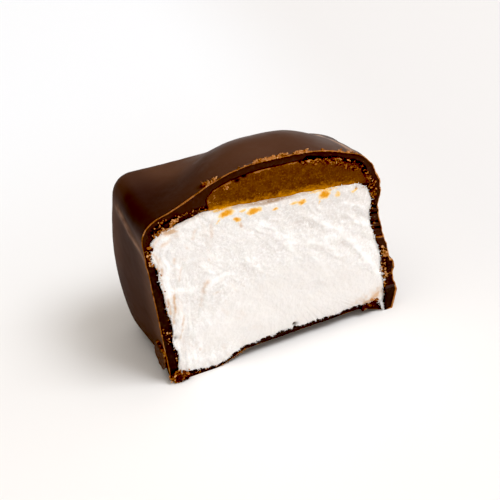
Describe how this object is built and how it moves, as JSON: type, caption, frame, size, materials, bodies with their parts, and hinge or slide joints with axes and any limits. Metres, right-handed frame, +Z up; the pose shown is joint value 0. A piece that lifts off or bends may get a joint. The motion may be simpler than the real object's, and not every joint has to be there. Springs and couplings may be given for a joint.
{
  "type": "chocolate-coated marshmallow sweet",
  "caption": "Half of a chocolate-coated marshmallow sweet with a caramel layer, cut open so that the filling shows.",
  "frame": {"origin": "on the surface that the sweet stands on, under the middle of its bounding box", "axes": "+X to the right along the cut face as it is looked at, +Y away from the viewer from the cut into the sweet, +Z up"},
  "size_m": [0.0292, 0.0134, 0.0245],
  "materials": {
    "dark_chocolate": "dark brown set chocolate, satin outside with a soft sheen, nearly black and crumbly where it is cut",
    "marshmallow_foam": "matt white foam with fine torn fibres across the cut",
    "caramel_filling": "grainy brown set caramel, lighter amber along its lower edge"
  },
  "bodies": {
    "root": {"chocolate_coat": "dark_chocolate", "marshmallow": "marshmallow_foam", "caramel": "caramel_filling"}
  },
  "joints": []
}
